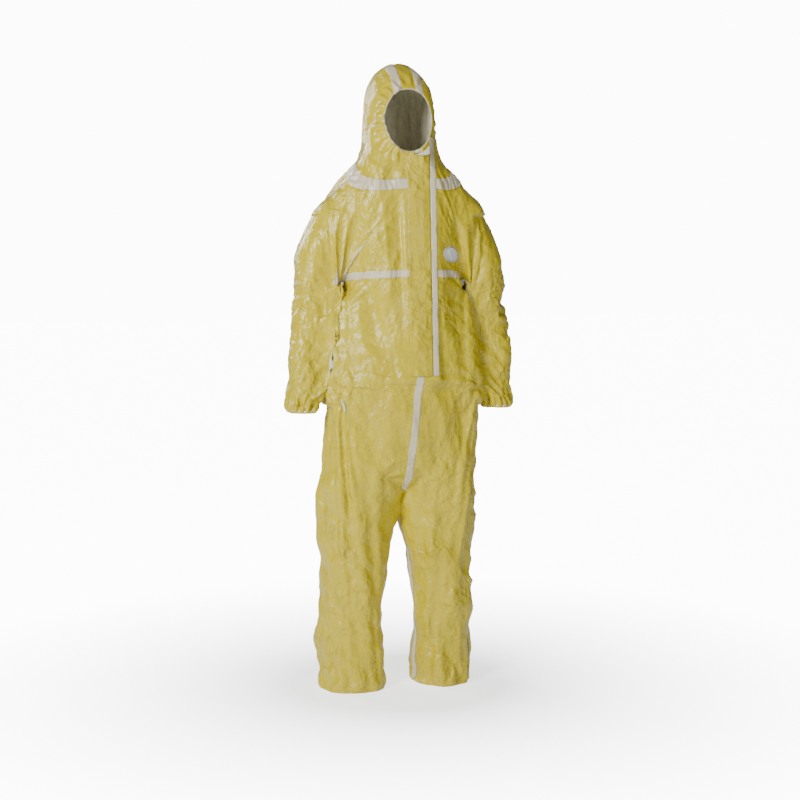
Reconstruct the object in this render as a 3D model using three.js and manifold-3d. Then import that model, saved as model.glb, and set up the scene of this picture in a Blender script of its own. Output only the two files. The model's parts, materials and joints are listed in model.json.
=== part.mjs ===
// Hooded chemical protective suit, as worn: laminate panels joined by taped seams, elastic edges,
// a storm flap over a front zip, and the zip's slider and puller.
// Millimetres, +Z up, the front faces -Y, +X is the wearer's left. Origin: the neck point.
import * as THREE from 'three';
import { mergeVertices } from 'three/addons/utils/BufferGeometryUtils.js';
import Module from 'manifold-3d';

const wasm = await Module();
wasm.setup();

// Overall sizes. Heights are drawn for the base size and graded from these three.
const SUIT_HEIGHT = 1764; // leg hem to crown
const SUIT_WIDTH = 438; // over the hips
const SUIT_DEPTH = 292; // chest, front to back
const BASE_HEIGHT = 1764;
const BASE_WIDTH = 438;
const BASE_DEPTH = 292;

// Laminate, tapes and elastic
const WALL = 1.5;
const LAYER_GAP = 0.3; // between touching layers and across a seam
const TAPE_THICK = 0.7;
const SEAM_TAPE = 20; // width of a body seam tape
const NECK_TAPE = 25;
const HOOD_TAPE = 23;
const ELASTIC_THICK = 1.4;
const ELASTIC_WIDE = 8;

// Seam heights above the hems, base size
const NECK_HEIGHT = 1485; // neck seam at the sides of the neck
const NECK_SLOPE = 0.45; // the neck seam drops towards the front
const CHEST_HEIGHT = 1183;
const WAIST_HEIGHT = 1030;
const FORK_HEIGHT = 566;
const CUFF_HEIGHT = 798;
const CROWN_SEAM = 32; // half the width of the hood's crown panel

// Face opening
const FACE_HEIGHT = 1602;
const FACE_HALF_WIDE = 70;
const FACE_HALF_TALL = 86;

// Front placket, a straight strip that leans back towards the chin
const PLACKET_X = 20; // the zip sits a little to the wearer's left, as the suit is worn
const PLACKET_HEIGHT = 915; // foot of the zip
const PLACKET_FRONT = 157.7; // how far the strip's foot stands in front of the suit's middle
const PLACKET_LEAN = 0.06604; // radians from upright, base size
const ZIP_LENGTH = 580;

// Zip
const ZIP_GAP = 12; // between the two fabric edges
const CHAIN_SLIT = 1.4; // slit that the slider's bridge runs in
const CHAIN_HALF_WIDE = 3.1;
const CHAIN_LOW = -3.0; // chain's back and front, counted outward from the fabric's outer face
const CHAIN_HIGH = -0.6;
const ZIP_TAPE_WIDE = 15;
const ZIP_TAPE_THICK = 1;
const STOP_LONG = 4;
const SLIDER_LONG = 14;
const SLIDER_WIDE = 10.4;
const SLIDER_PLATE = 1.5;
const SLIDER_CLEAR = 0.3;
const PULLER_LONG = 26;
const PULLER_WIDE = 7;
const PULLER_THICK = 1.2;
const PULLER_AXIS = 1; // puller's axis above the slider's front plate

// Storm flap, an arched strip hinged at its sewn edge on the wearer's left
const FLAP_SEWN = 34; // sewn edge, counted from the zip's middle
const FLAP_FREE = 30; // free edge, on the other side
const FLAP_THICK = 1.2;
const FLAP_RISE = 7; // clear height over the zip
const FLAP_SEWN_HEIGHT = 0.4; // its sewn edge lies this close to the fabric
const FLAP_LANDING = 2; // height of its free edge, over tapes and adhesive
const FLAP_FOOT = -15; // its lower end, counted from the zip's foot
const FLAP_TOP = 1560; // the flap and its tape reach no higher than this
const ADHESIVE_WIDE = 9;
const ADHESIVE_THICK = 0.4;

// Chest label
const LABEL_X = 128;
const LABEL_HEIGHT = 1238;
const LABEL_HALF_WIDE = 31;
const LABEL_HALF_TALL = 21.5;
const LABEL_THICK = 0.5;

const up = (height) => height * SUIT_HEIGHT / BASE_HEIGHT;
const out = (x) => x * SUIT_WIDTH / BASE_WIDTH;
const deep = (y) => y * SUIT_DEPTH / BASE_DEPTH;
const FAR = 3 * SUIT_HEIGHT; // longer than the suit in any direction

// Sections of the trunk and hood, crown to crotch: height, half width, half depth, centre y
const TRUNK = [
  [1764, 16, 22, 13], [1752, 44, 58, 13], [1736, 63, 84, 12], [1713, 82, 104, 10],
  [1673, 97, 119, 6], [1616, 103, 123, 2], [1560, 101, 122, 0], [1530, 105, 124, -1],
  [1500, 114, 126, -2], [1475, 142, 128, -2], [1445, 190, 131, -2], [1400, 224, 133, -2],
  [1340, 232, 137, -2], [1260, 190, 143, -2], [1183, 172, 146, -4], [1103, 176, 147, -8],
  [1000, 190, 151, -11], [880, 208, 158, -14], [800, 218, 156, -12], [720, 216, 152, -9],
  [650, 204, 142, -6], [605, 160, 118, -3], [575, 70, 62, 0],
].map(([z, wide, thick, y]) => ({ x: 0, y, z, wide, thick }));

// Sections of the wearer's left leg, hip to below the hem
const LEG = [
  [100, -8, 790, 100, 130], [109, -6, 700, 103, 138], [113, -4, 640, 108, 132], [116, -2, 561, 112, 118],
  [120, 0, 500, 104, 110], [125, 0, 430, 98, 104], [131, 2, 330, 89, 97],
  [135, 4, 240, 89, 95], [137, 5, 150, 92, 96], [137, 4, 60, 91, 96], [137, 4, -30, 88, 94],
].map(([x, y, z, wide, thick]) => ({ x, y, z, wide, thick }));

// Sections of the wearer's left sleeve, shoulder to beyond the cuff, each square to the arm
const SLEEVE = [
  [90, 4, 1380, 60, 80], [165, 4, 1340, 84, 98], [214, 3, 1262, 82, 96],
  [250, 0, 1170, 74, 90], [260, -5, 1080, 74, 84], [271, -14, 980, 71, 78],
  [281, -24, 890, 66, 72], [286, -29, 845, 62, 66], [288, -31, 818, 46, 50],
  [288, -33, 800, 39, 43], [288, -36, 760, 39, 43],
].map(([x, y, z, wide, thick]) => ({ x, y, z, wide, thick }));

// ---- solids ----

function solid(geometry) {
  const bare = geometry.clone();
  bare.deleteAttribute('normal');
  bare.deleteAttribute('uv');
  const merged = mergeVertices(bare, 1e-4);
  return new wasm.Manifold(new wasm.Mesh({
    numProp: 3,
    vertProperties: new Float32Array(merged.attributes.position.array),
    triVerts: new Uint32Array(merged.index.array),
  }));
}

function box(x0, x1, y0, y1, z0, z1) {
  const geometry = new THREE.BoxGeometry(x1 - x0, y1 - y0, z1 - z0);
  return geometry.translate((x0 + x1) / 2, (y0 + y1) / 2, (z0 + z1) / 2);
}

const block = (...corners) => solid(box(...corners));
const union = (solids) => solids.reduce((all, next) => all.add(next));

// A prism whose outline is drawn in X and Z, running from y0 to y1
function prism(outline, y0, y1, curveSegments = 12) {
  const geometry = new THREE.ExtrudeGeometry(outline, {
    depth: y1 - y0, bevelEnabled: false, curveSegments,
  });
  return solid(geometry.rotateX(Math.PI / 2).translate(0, y1, 0));
}

const polygon = (points) => new THREE.Shape(points.map(([x, z]) => new THREE.Vector2(x, z)));

function oval(x, z, halfWide, halfTall) {
  const shape = new THREE.Shape();
  shape.absellipse(x, z, halfWide, halfTall, 0, 2 * Math.PI);
  return shape;
}

// A tube through sections, each a rounded oval; grow moves its skin outward
function tube(stations, grow, { side = 1, sides = 22, square = 2.3, upright = false } = {}) {
  const last = stations.length - 1;
  const centres = stations.map(({ x, y, z }) => (
    new THREE.Vector3(side * out(x), deep(y), up(z))
  ));
  const start = Math.PI / sides;
  const geometry = new THREE.CylinderGeometry(1, 1, 1, sides, last, false, start);
  const position = geometry.attributes.position;
  const point = new THREE.Vector3();
  for (let i = 0; i < position.count; i += 1) {
    point.fromBufferAttribute(position, i);
    const ring = Math.round((0.5 - point.y) * last);
    const rise = upright
      ? new THREE.Vector3(0, 0, 1)
      : centres[Math.max(ring - 1, 0)].clone().sub(centres[Math.min(ring + 1, last)]);
    rise.normalize();
    const front = new THREE.Vector3(0, -1, 0).projectOnPlane(rise).normalize();
    const across = rise.clone().cross(front);
    const reach = Math.hypot(point.x, point.z) < 0.5 ? 0
      : (Math.abs(point.x) ** square + Math.abs(point.z) ** square) ** (-1 / square);
    const { wide, thick } = stations[ring];
    const end = (ring === 0) - (ring === last);
    const placed = centres[ring].clone()
      .addScaledVector(across, point.x * reach * (out(wide) + grow))
      .addScaledVector(front, point.z * reach * (deep(thick) + grow))
      .addScaledVector(rise, end * grow);
    position.setXYZ(i, placed.x, placed.y, placed.z);
  }
  return solid(geometry);
}

// The placket leans less on a taller suit and more on a deeper one
const placketLean = Math.atan2(deep(Math.sin(PLACKET_LEAN)), up(Math.cos(PLACKET_LEAN)));

// Moves a shape drawn on the placket, x across, y up the zip and z outward, onto the suit
function onPlacket(geometry) {
  return geometry.rotateX(Math.PI / 2 - placketLean)
    .translate(out(PLACKET_X), -deep(PLACKET_FRONT), up(PLACKET_HEIGHT));
}

const placketBlock = (...corners) => solid(onPlacket(box(...corners)));
const zipLength = up(ZIP_LENGTH);

// ---- the garment as a whole ----

const sleeve = (side, grow) => tube(SLEEVE, grow, { side, sides: 16, square: 2.15 });
const leg = (side, grow) => tube(LEG, grow, { side, sides: 16, square: 2.2, upright: true });
const trunk = (grow) => tube(TRUNK, grow, { sides: 22, square: 2.4, upright: true });

function garment(grow) {
  const body = union([
    trunk(grow), sleeve(1, grow), sleeve(-1, grow), leg(1, grow), leg(-1, grow),
  ]);
  const behindPlacket = placketBlock(-FAR, FAR, -FAR, FAR, -FAR, grow);
  return body.intersect(behindPlacket);
}

const faceHole = (margin) => prism(
  oval(0, up(FACE_HEIGHT), out(FACE_HALF_WIDE) + margin, up(FACE_HALF_TALL) + margin),
  -deep(200), 0, 16,
);

// Everything below the leg hems and beyond the cuffs
const beyondCuff = out(236); // the cuffs lie outside this, the hips inside
const ends = union([
  block(-FAR, FAR, -FAR, FAR, -FAR, 0),
  block(beyondCuff, FAR, -FAR, FAR, -FAR, up(CUFF_HEIGHT)),
  block(-FAR, -beyondCuff, -FAR, FAR, -FAR, up(CUFF_HEIGHT)),
]);

// A layer between two skins, open at the face, cuffs and hems
function layer(outer, inner) {
  return garment(outer).subtract(garment(inner)).subtract(faceHole(0)).subtract(ends);
}

// ---- regions that the panels and tapes are cut to ----

const heightRange = (z0, z1) => block(-FAR, FAR, -FAR, FAR, z0, z1);
const front = block(-FAR, FAR, -FAR, 0, -FAR, FAR);
const rear = block(-FAR, FAR, 0, FAR, -FAR, FAR);

// The slab parallel to the neck seam, from low to high of it
function neckSlab(low, high) {
  const geometry = box(-FAR, FAR, -FAR, FAR, low, high);
  return solid(geometry.rotateX(Math.atan(NECK_SLOPE)).translate(0, 0, up(NECK_HEIGHT)));
}

// The wearer's left (side 1) or right (side -1) of the zip, the front crotch seam and the back seam
function half(side) {
  const gap = side * LAYER_GAP / 2;
  const far = side * FAR;
  const outline = polygon([
    [out(PLACKET_X) + gap, FAR],
    [out(PLACKET_X) + gap, up(PLACKET_HEIGHT)],
    [gap, up(FORK_HEIGHT)],
    [gap, -FAR],
    [far, -FAR],
    [far, FAR],
  ]);
  const back = side > 0 ? block(gap, far, 0, FAR, -FAR, FAR) : block(far, gap, 0, FAR, -FAR, FAR);
  return prism(outline, -FAR, 0).add(back);
}

const zipOpening = placketBlock(
  -ZIP_GAP / 2, ZIP_GAP / 2, -STOP_LONG - 2 * LAYER_GAP, FAR, -FAR / 20, FAR / 20,
).intersect(front);

// ---- panels ----

const parts = [];
const FILM = { color: 0xd0c064, roughness: 0.4, metalness: 0 };
const TAPE = { color: 0xe6dcc8, roughness: 0.55, metalness: 0 };
const RUBBER = { color: 0xeae6d6, roughness: 0.8, metalness: 0 };
const ZIPPER = { color: 0xe2c94c, roughness: 0.5, metalness: 0 };

function add(name, shape, looks) {
  const mesh = shape.getMesh();
  const geometry = new THREE.BufferGeometry();
  geometry.setAttribute('position', new THREE.BufferAttribute(mesh.vertProperties, 3));
  geometry.setIndex(new THREE.BufferAttribute(mesh.triVerts, 1));
  const node = new THREE.Mesh(geometry, new THREE.MeshStandardMaterial(looks));
  node.name = name;
  parts.push(node);
}

const fabric = layer(0, -WALL).subtract(zipOpening);
const seam = LAYER_GAP / 2;

function addHood() {
  const hood = fabric.intersect(neckSlab(seam, FAR));
  const crownHalf = out(CROWN_SEAM);
  const belowFace = block(-FAR, FAR, -FAR, 0, -FAR, up(FACE_HEIGHT));
  const middle = block(-crownHalf + seam, crownHalf - seam, -FAR, FAR, -FAR, FAR);
  add('hood_crown_panel', hood.intersect(middle).subtract(belowFace), FILM);
  for (const [name, side] of [['left', 1], ['right', -1]]) {
    const edges = [side * (crownHalf + seam), side * FAR].sort((a, b) => a - b);
    const outside = block(...edges, -FAR, FAR, -FAR, FAR);
    const region = outside.add(belowFace.intersect(half(side)));
    add(`hood_${name}_panel`, hood.intersect(region), FILM);
  }
}

function addBody() {
  const belowNeck = fabric.intersect(neckSlab(-FAR, -seam));
  const chest = up(CHEST_HEIGHT);
  for (const [name, side] of [['left', 1], ['right', -1]]) {
    const onSide = belowNeck.intersect(half(side));
    const yoke = heightRange(chest + seam, FAR).add(sleeve(side, 1.2));
    add(`yoke_sleeve_${name}`, onSide.intersect(yoke), FILM);
    const lower = onSide.intersect(heightRange(-FAR, chest - seam));
    add(`body_leg_${name}`, lower.subtract(sleeve(side, 1.2 + LAYER_GAP)), FILM);
  }
}

// ---- elastic bands, inside the fabric's edges ----

function addElastics() {
  const band = layer(-WALL - LAYER_GAP, -WALL - LAYER_GAP - ELASTIC_THICK);
  const zipSide = ZIP_TAPE_WIDE + CHAIN_HALF_WIDE + 2 * LAYER_GAP;
  const zipSpace = placketBlock(-zipSide, zipSide, -FAR, FAR, -FAR / 20, FAR / 20)
    .intersect(front);
  const atFace = band.intersect(faceHole(ELASTIC_WIDE)).subtract(
    zipSpace.intersect(heightRange(-FAR, up(FACE_HEIGHT))),
  );
  add('face_elastic', atFace, RUBBER);
  const rim = 1.5; // fabric left beyond the elastic at an open end
  for (const [name, side] of [['left', 1], ['right', -1]]) {
    const cuffs = heightRange(up(CUFF_HEIGHT) + rim, up(CUFF_HEIGHT) + rim + ELASTIC_WIDE);
    add(`cuff_elastic_${name}`, band.intersect(cuffs).intersect(sleeve(side, 0)), RUBBER);
    const hems = heightRange(rim, rim + ELASTIC_WIDE);
    add(`ankle_elastic_${name}`, band.intersect(hems).intersect(leg(side, 0)), RUBBER);
  }
  const waist = up(WAIST_HEIGHT);
  const behind = block(-out(189), out(189), deep(20), FAR, waist - 6, waist + 6);
  add('waist_elastic', band.intersect(behind).intersect(trunk(0)), RUBBER);
}

// ---- seam tapes, outside the fabric ----

function addTapes() {
  const tapes = layer(LAYER_GAP + TAPE_THICK, LAYER_GAP);
  const chest = up(CHEST_HEIGHT);
  const halfTape = SEAM_TAPE / 2;
  const flapSeam = [FLAP_SEWN + 2, FLAP_SEWN + 2 + SEAM_TAPE * 0.8];
  const zipClear = placketBlock(-7, 7, -FAR, FAR, -FAR / 20, FAR / 20).intersect(front);
  const flapSide = placketBlock(
    -7, flapSeam[1] + LAYER_GAP, -FAR, FAR, -FAR / 20, FAR / 20,
  ).intersect(front);
  const noNeck = neckSlab(-NECK_TAPE / 2 - LAYER_GAP, NECK_TAPE / 2 + LAYER_GAP);

  const neck = neckSlab(-NECK_TAPE / 2, NECK_TAPE / 2);
  add('neck_tape', tapes.intersect(neck).subtract(zipClear).subtract(flapSide), TAPE);

  const flapTape = placketBlock(...flapSeam, FLAP_FOOT, FAR, -FAR / 20, FAR / 20)
    .intersect(front).intersect(heightRange(0, up(FLAP_TOP)));
  add('flap_seam_tape', tapes.intersect(flapTape), TAPE);

  const overCrown = rear.add(heightRange(up(FACE_HEIGHT), FAR));
  const aboveNeck = neckSlab(NECK_TAPE / 2 + LAYER_GAP, FAR);
  for (const [name, side] of [['left', 1], ['right', -1]]) {
    const middle = side * out(CROWN_SEAM);
    const strip = block(middle - HOOD_TAPE / 2, middle + HOOD_TAPE / 2, -FAR, FAR, -FAR, FAR);
    add(
      `hood_tape_${name}`,
      tapes.intersect(strip).intersect(overCrown).intersect(aboveNeck),
      TAPE,
    );
  }

  const backStrip = block(-halfTape, halfTape, 0, FAR, up(FORK_HEIGHT) + 4, FAR);
  const belowNeck = neckSlab(-FAR, -NECK_TAPE / 2 - LAYER_GAP);
  add('centre_back_tape', tapes.intersect(backStrip).intersect(belowNeck), TAPE);

  const chestBand = heightRange(chest - halfTape, chest + halfTape);
  const across = tapes.intersect(chestBand);
  for (const [name, side] of [['left', 1], ['right', -1]]) {
    const reach = [side * (halfTape + LAYER_GAP), side * out(169)].sort((a, b) => a - b);
    const back = block(...reach, 0, FAR, -FAR, FAR);
    add(`chest_tape_back_${name}`, across.intersect(back), TAPE);
    const ahead = block(-out(169), out(169), -FAR, 0, -FAR, FAR).intersect(half(side));
    const clear = side > 0 ? flapSide : zipClear;
    add(`chest_tape_front_${name}`, across.intersect(ahead).subtract(clear), TAPE);
  }

  // The front crotch seam leans from the foot of the zip to the fork
  const top = up(PLACKET_HEIGHT) - 10;
  const low = up(FORK_HEIGHT) + 4;
  const lean = out(PLACKET_X) * (top - up(FORK_HEIGHT)) / (up(PLACKET_HEIGHT) - up(FORK_HEIGHT));
  const crotch = polygon([
    [-halfTape, low], [halfTape, low], [lean + halfTape, top], [lean - halfTape, top],
  ]);
  add('front_crotch_tape', tapes.intersect(prism(crotch, -FAR, -LAYER_GAP)), TAPE);

  for (const [name, side] of [['left', 1], ['right', -1]]) {
    const inner = [0, side * out(116)].sort((a, b) => a - b);
    const inseam = block(...inner, -halfTape, halfTape, 1, up(FORK_HEIGHT) - 8);
    add(`inseam_tape_${name}`, tapes.intersect(inseam).intersect(leg(side, 2)), TAPE);

    const underarmTop = up(CHEST_HEIGHT) - 30;
    const underarmEnd = up(CUFF_HEIGHT) + 1;
    const underarm = polygon([
      [side * out(160), underarmTop], [side * out(250), underarmTop],
      [side * out(288), underarmEnd], [side * out(200), underarmEnd],
    ]);
    const forward = Math.atan2(deep(33), underarmTop - underarmEnd);
    const shape = new THREE.ExtrudeGeometry(underarm, { depth: SEAM_TAPE, bevelEnabled: false })
      .rotateX(Math.PI / 2).translate(0, halfTape, -underarmTop)
      .rotateX(-forward).translate(0, 0, underarmTop);
    add(`underarm_tape_${name}`, tapes.intersect(solid(shape)).intersect(sleeve(side, 2)), TAPE);
  }
}

// ---- zip ----

function addZip() {
  const tapeHigh = -WALL - LAYER_GAP;
  const tapeLow = tapeHigh - ZIP_TAPE_THICK;
  for (const [name, side] of [['left', 1], ['right', -1]]) {
    const span = (a, b) => [side * a, side * b].sort((p, q) => p - q);
    const tapeInner = CHAIN_HALF_WIDE + LAYER_GAP;
    const tape = span(tapeInner, tapeInner + ZIP_TAPE_WIDE);
    add(
      `zip_tape_${name}`,
      placketBlock(...tape, -12, zipLength + 6, tapeLow, tapeHigh),
      { color: 0xd9c75e, roughness: 0.8, metalness: 0 },
    );
    const chain = span(CHAIN_SLIT / 2, CHAIN_HALF_WIDE);
    add(
      `zip_chain_${name}`,
      placketBlock(...chain, 0, zipLength, CHAIN_LOW, CHAIN_HIGH),
      ZIPPER,
    );
    const stopFoot = zipLength + LAYER_GAP;
    add(
      `zip_top_stop_${name}`,
      placketBlock(...chain, stopFoot, stopFoot + STOP_LONG, CHAIN_LOW, CHAIN_HIGH + 0.4),
      ZIPPER,
    );
  }
  add(
    'zip_bottom_stop',
    placketBlock(
      -CHAIN_HALF_WIDE, CHAIN_HALF_WIDE, -LAYER_GAP - STOP_LONG, -LAYER_GAP,
      CHAIN_LOW, CHAIN_HIGH + 0.4,
    ),
    ZIPPER,
  );
}

// The slider rests at the top of the closed zip
const sliderTop = zipLength - 1;
const plateLow = CHAIN_HIGH + SLIDER_CLEAR;
const plateHigh = plateLow + SLIDER_PLATE;
const pullerAxisUp = sliderTop - SLIDER_LONG / 2;
const pullerAxisOut = plateHigh + PULLER_AXIS;

function addSlider() {
  const wide = SLIDER_WIDE / 2;
  const foot = sliderTop - SLIDER_LONG;
  const backHigh = CHAIN_LOW - SLIDER_CLEAR;
  const frontPlate = placketBlock(-wide, wide, foot, sliderTop, plateLow, plateHigh);
  const backPlate = placketBlock(-wide, wide, foot, sliderTop, backHigh - SLIDER_PLATE, backHigh);
  const bridgeHalf = CHAIN_SLIT / 2 - SLIDER_CLEAR;
  const bridge = placketBlock(
    -bridgeHalf, bridgeHalf, sliderTop - 4, sliderTop - 1, backHigh - 0.5, plateLow + 0.5,
  );
  const crownLong = 3.2;
  const crown = placketBlock(
    -1.3, 1.3, pullerAxisUp - crownLong, pullerAxisUp + crownLong,
    plateHigh - 0.5, pullerAxisOut + 1.9,
  );
  const eye = placketBlock(
    -2, 2, pullerAxisUp - crownLong + 1, pullerAxisUp + crownLong - 1,
    plateHigh, pullerAxisOut + 0.9,
  );
  add('zip_slider', union([frontPlate, backPlate, bridge, crown.subtract(eye)]), {
    color: 0xd8c050, roughness: 0.35, metalness: 0.2,
  });
}

function addPuller() {
  const wide = PULLER_WIDE / 2;
  const thick = PULLER_THICK / 2;
  const plate = placketBlock(
    -wide, wide, pullerAxisUp - PULLER_LONG, pullerAxisUp + thick,
    pullerAxisOut - thick, pullerAxisOut + thick,
  );
  const window = placketBlock(
    -wide + 1.3, wide - 1.3, pullerAxisUp - 4.4, pullerAxisUp - thick,
    pullerAxisOut - 2, pullerAxisOut + 2,
  );
  add('zip_puller', plate.subtract(window), { color: 0xd8c050, roughness: 0.35, metalness: 0.2 });
}

// ---- storm flap ----

function addFlap() {
  const section = new THREE.Shape([
    [-FLAP_FREE, FLAP_LANDING], [-18, FLAP_LANDING], [-9, FLAP_RISE], [14, FLAP_RISE],
    [FLAP_SEWN, FLAP_SEWN_HEIGHT], [FLAP_SEWN, FLAP_SEWN_HEIGHT + FLAP_THICK],
    [14.3, FLAP_RISE + FLAP_THICK], [-9.6, FLAP_RISE + FLAP_THICK],
    [-18.6, FLAP_LANDING + FLAP_THICK], [-FLAP_FREE, FLAP_LANDING + FLAP_THICK],
  ].map(([x, y]) => new THREE.Vector2(x, y)));
  const flapTop = up(FLAP_TOP - PLACKET_HEIGHT);
  const strip = new THREE.ExtrudeGeometry(section, {
    depth: flapTop - FLAP_FOOT, bevelEnabled: false,
  });
  strip.rotateX(Math.PI / 2).translate(0, flapTop, 0);
  // The upper end narrows towards the chin and follows the face opening
  const veerFoot = up(1440 - PLACKET_HEIGHT);
  const veer = new THREE.ExtrudeGeometry(polygon([
    [-FLAP_FREE - 1, veerFoot], [-FLAP_FREE + 20, veerFoot + 75],
    [-FLAP_FREE + 20, FAR], [-FLAP_FREE - 1, FAR],
  ]), { depth: 40, bevelEnabled: false }).translate(0, 0, -20);
  const flap = solid(onPlacket(strip)).subtract(solid(onPlacket(veer))).subtract(faceHole(8));
  add('storm_flap', flap, FILM);

  const adhesiveHigh = FLAP_LANDING - LAYER_GAP;
  const edge = -FLAP_FREE + 1.5;
  add(
    'flap_adhesive_strip',
    placketBlock(
      edge, edge + ADHESIVE_WIDE, FLAP_FOOT + 3, veerFoot - 4,
      adhesiveHigh - ADHESIVE_THICK, adhesiveHigh,
    ),
    TAPE,
  );
}

// ---- label ----

function addLabel() {
  const outline = oval(out(LABEL_X), up(LABEL_HEIGHT), LABEL_HALF_WIDE, LABEL_HALF_TALL);
  const skin = layer(LAYER_GAP + LABEL_THICK, LAYER_GAP);
  add('chest_label', skin.intersect(prism(outline, -FAR, 0, 10)), {
    color: 0xf2f2ee, roughness: 0.5, metalness: 0,
  });
}

addHood();
addBody();
addElastics();
addTapes();
addZip();
addSlider();
addPuller();
addFlap();
addLabel();

const group = new THREE.Group();
group.position.set(0, 0, -up(NECK_HEIGHT));
group.add(...parts);

export default group;
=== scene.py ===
import json
import math
import bmesh
import bpy
import numpy as np
from mathutils import Matrix, Vector, noise
from mathutils.bvhtree import BVHTree
from mathutils.interpolate import poly_3d_calc


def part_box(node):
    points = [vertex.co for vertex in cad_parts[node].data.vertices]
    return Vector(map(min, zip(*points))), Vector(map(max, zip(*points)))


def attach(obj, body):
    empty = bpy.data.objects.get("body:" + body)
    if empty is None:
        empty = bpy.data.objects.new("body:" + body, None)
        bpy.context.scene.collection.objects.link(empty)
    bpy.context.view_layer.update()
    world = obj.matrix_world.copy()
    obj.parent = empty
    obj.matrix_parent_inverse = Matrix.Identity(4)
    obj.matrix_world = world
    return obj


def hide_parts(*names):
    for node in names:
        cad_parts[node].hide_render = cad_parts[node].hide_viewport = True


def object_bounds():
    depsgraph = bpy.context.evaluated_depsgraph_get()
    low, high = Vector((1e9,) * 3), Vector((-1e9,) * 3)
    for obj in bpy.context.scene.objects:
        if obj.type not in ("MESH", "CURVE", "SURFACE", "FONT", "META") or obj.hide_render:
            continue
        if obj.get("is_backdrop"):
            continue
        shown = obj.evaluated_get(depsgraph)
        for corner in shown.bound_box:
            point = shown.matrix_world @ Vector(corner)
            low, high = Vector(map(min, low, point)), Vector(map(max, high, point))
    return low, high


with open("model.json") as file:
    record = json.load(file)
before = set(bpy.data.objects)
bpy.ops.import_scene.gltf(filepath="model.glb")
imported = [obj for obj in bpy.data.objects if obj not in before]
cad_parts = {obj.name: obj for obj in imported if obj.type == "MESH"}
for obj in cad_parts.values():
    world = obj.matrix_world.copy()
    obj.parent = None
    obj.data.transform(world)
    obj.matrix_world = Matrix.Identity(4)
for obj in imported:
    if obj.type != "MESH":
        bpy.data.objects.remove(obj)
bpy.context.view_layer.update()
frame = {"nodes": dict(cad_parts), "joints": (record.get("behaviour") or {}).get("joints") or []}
bpy.ops.object.select_all(action="DESELECT")

# ---- The suit as worn --------------------------------------------------------------------------
# One skin for the whole suit: trunk with hood, two sleeves and two legs, before it is cut into
# panels. The laminate is stiff, roomy film cloth, so it is made a little too long and too wide
# and then let down over a plain dress form, where the spare cloth buckles into its folds.

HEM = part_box("body_leg_left")[0].z
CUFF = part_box("yoke_sleeve_left")[0].z
MESH_STEP = 0.008

# Trunk and hood, crown to crotch: height over the hems, half width, half depth, centre y, and the
# share of that section that the dress form inside fills
TRUNK = np.array([
    (1.764, .016, .022, .013, .80), (1.752, .044, .058, .013, .86),
    (1.736, .063, .084, .012, .90), (1.713, .082, .104, .010, .90),
    (1.673, .097, .119, .006, .88), (1.616, .103, .123, .002, .84),
    (1.560, .099, .122, .000, .74), (1.530, .099, .124, -.001, .70),
    (1.500, .104, .126, -.002, .68), (1.475, .128, .128, -.002, .74),
    (1.445, .182, .131, -.002, .88), (1.400, .214, .130, -.002, .93),
    (1.340, .208, .134, -.002, .92), (1.260, .186, .142, -.002, .92),
    (1.183, .172, .146, -.004, .90), (1.103, .176, .147, -.008, .84),
    (1.000, .190, .151, -.011, .78), (.880, .208, .158, -.014, .78),
    (.800, .218, .156, -.012, .80), (.720, .216, .152, -.009, .80),
    (.650, .204, .142, -.006, .76), (.605, .160, .118, -.003, .70), (.575, .070, .062, .000, .60),
])
# A leg and a sleeve on the wearer's left: centre x and y, height, half width, half depth, share
LEG = np.array([
    (.100, -.008, .790, .100, .130, .80), (.109, -.006, .700, .103, .138, .78),
    (.113, -.004, .640, .108, .132, .74), (.116, -.002, .561, .112, .118, .70),
    (.120, .000, .500, .104, .110, .68), (.125, .000, .430, .098, .104, .64),
    (.131, .002, .330, .089, .097, .66), (.135, .004, .240, .089, .095, .62),
    (.137, .005, .150, .092, .096, .58), (.137, .004, .060, .091, .096, .54),
    (.137, .004, -.030, .088, .094, .50),
])
SLEEVE = np.array([
    (.090, .004, 1.380, .060, .080, .90), (.165, .004, 1.340, .084, .098, .88),
    (.214, .003, 1.262, .082, .096, .76), (.250, .000, 1.170, .074, .090, .66),
    (.260, -.005, 1.080, .074, .084, .62), (.271, -.014, .980, .071, .078, .64),
    (.281, -.024, .890, .066, .072, .60), (.286, -.029, .845, .062, .066, .58),
    (.288, -.031, .818, .046, .050, .70), (.288, -.033, .800, .039, .043, .78),
    (.288, -.036, .760, .039, .043, .78),
])


def new_object(name, verts, faces):
    """A mesh object in the scene, made from its points and faces."""
    mesh = bpy.data.meshes.new(name)
    mesh.from_pydata(verts, [], faces)
    obj = bpy.data.objects.new(name, mesh)
    bpy.context.scene.collection.objects.link(obj)
    return obj


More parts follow.
